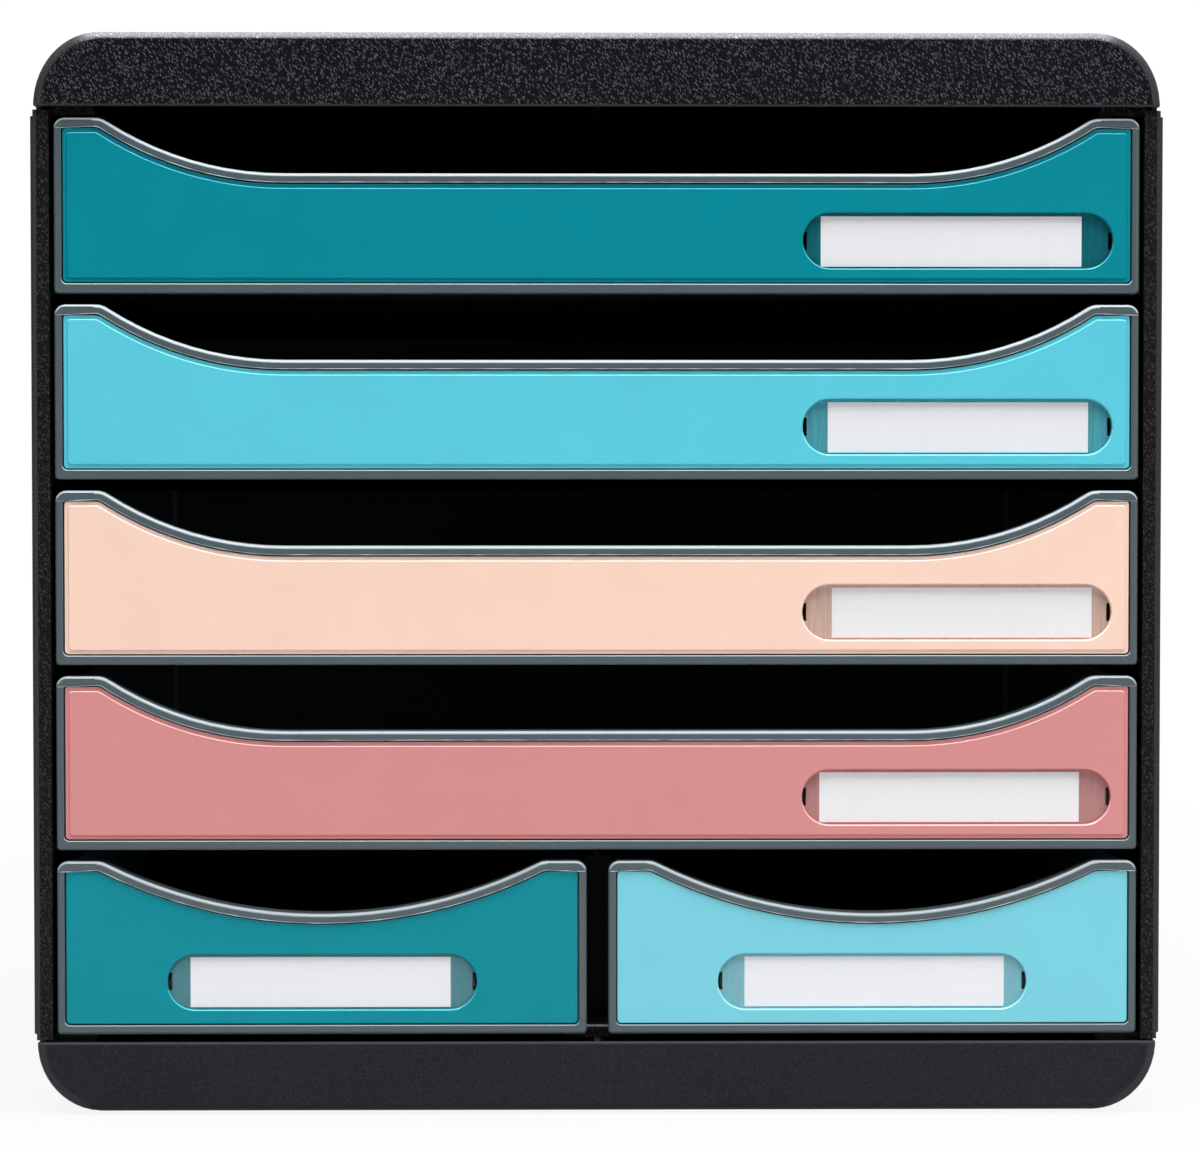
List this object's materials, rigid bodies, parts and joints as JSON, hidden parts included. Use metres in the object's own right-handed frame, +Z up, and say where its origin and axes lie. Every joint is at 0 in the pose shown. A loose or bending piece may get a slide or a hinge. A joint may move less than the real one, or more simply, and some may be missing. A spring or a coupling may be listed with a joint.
{
  "type": "desktop drawer unit",
  "caption": "Desktop drawer unit for stationery: a black plastic casing with open scooped drawers in rows, coloured front plates and clear label windows.",
  "frame": {"origin": "middle of the unit on the surface it stands on", "axes": "+Z up, the drawers' fronts look along -Y, +X to the right seen from the front"},
  "size_m": [0.355, 0.27, 0.3395],
  "materials": {
    "casing_black": "black polystyrene with a fine leather grain",
    "drawer_grey": "smooth dark blue-grey polystyrene",
    "teal": "satin teal polystyrene",
    "light_blue": "satin light blue polystyrene",
    "peach": "satin peach polystyrene",
    "pink": "satin dusty pink polystyrene",
    "window_clear": "clear polystyrene",
    "label_paper": "white paper",
    "foot_rubber": "matt black rubber",
    "screw_steel": "zinc-plated steel"
  },
  "bodies": {
    "casing": {"top_cap": "casing_black", "bottom_cap": "casing_black", "left_side_panel": "casing_black", "right_side_panel": "casing_black", "back_panel": "casing_black", "centre_divider": "casing_black", "rubber_feet": "foot_rubber", "casing_screws": "screw_steel"},
    "drawer_row_1": {"tray_row_1": "drawer_grey", "face_panel_row_1": "teal", "label_window_row_1": "window_clear", "paper_label_row_1": "label_paper"},
    "drawer_row_2": {"tray_row_2": "drawer_grey", "face_panel_row_2": "light_blue", "label_window_row_2": "window_clear", "paper_label_row_2": "label_paper"},
    "drawer_row_3": {"tray_row_3": "drawer_grey", "face_panel_row_3": "peach", "label_window_row_3": "window_clear", "paper_label_row_3": "label_paper"},
    "drawer_row_4": {"tray_row_4": "drawer_grey", "face_panel_row_4": "pink", "label_window_row_4": "window_clear", "paper_label_row_4": "label_paper"},
    "drawer_lower_left": {"tray_lower_left": "drawer_grey", "face_panel_lower_left": "teal", "label_window_lower_left": "window_clear", "paper_label_lower_left": "label_paper"},
    "drawer_lower_right": {"tray_lower_right": "drawer_grey", "face_panel_lower_right": "light_blue", "label_window_lower_right": "window_clear", "paper_label_lower_right": "label_paper"}
  },
  "joints": [
    {"name": "slide_row_1", "type": "slide", "parent": "casing", "child": "drawer_row_1", "axis": [0, -1, 0], "range_m": [0, 0.205]},
    {"name": "slide_row_2", "type": "slide", "parent": "casing", "child": "drawer_row_2", "axis": [0, -1, 0], "range_m": [0, 0.205]},
    {"name": "slide_row_3", "type": "slide", "parent": "casing", "child": "drawer_row_3", "axis": [0, -1, 0], "range_m": [0, 0.205]},
    {"name": "slide_row_4", "type": "slide", "parent": "casing", "child": "drawer_row_4", "axis": [0, -1, 0], "range_m": [0, 0.205]},
    {"name": "slide_lower_left", "type": "slide", "parent": "casing", "child": "drawer_lower_left", "axis": [0, -1, 0], "range_m": [0, 0.205]},
    {"name": "slide_lower_right", "type": "slide", "parent": "casing", "child": "drawer_lower_right", "axis": [0, -1, 0], "range_m": [0, 0.205]}
  ]
}
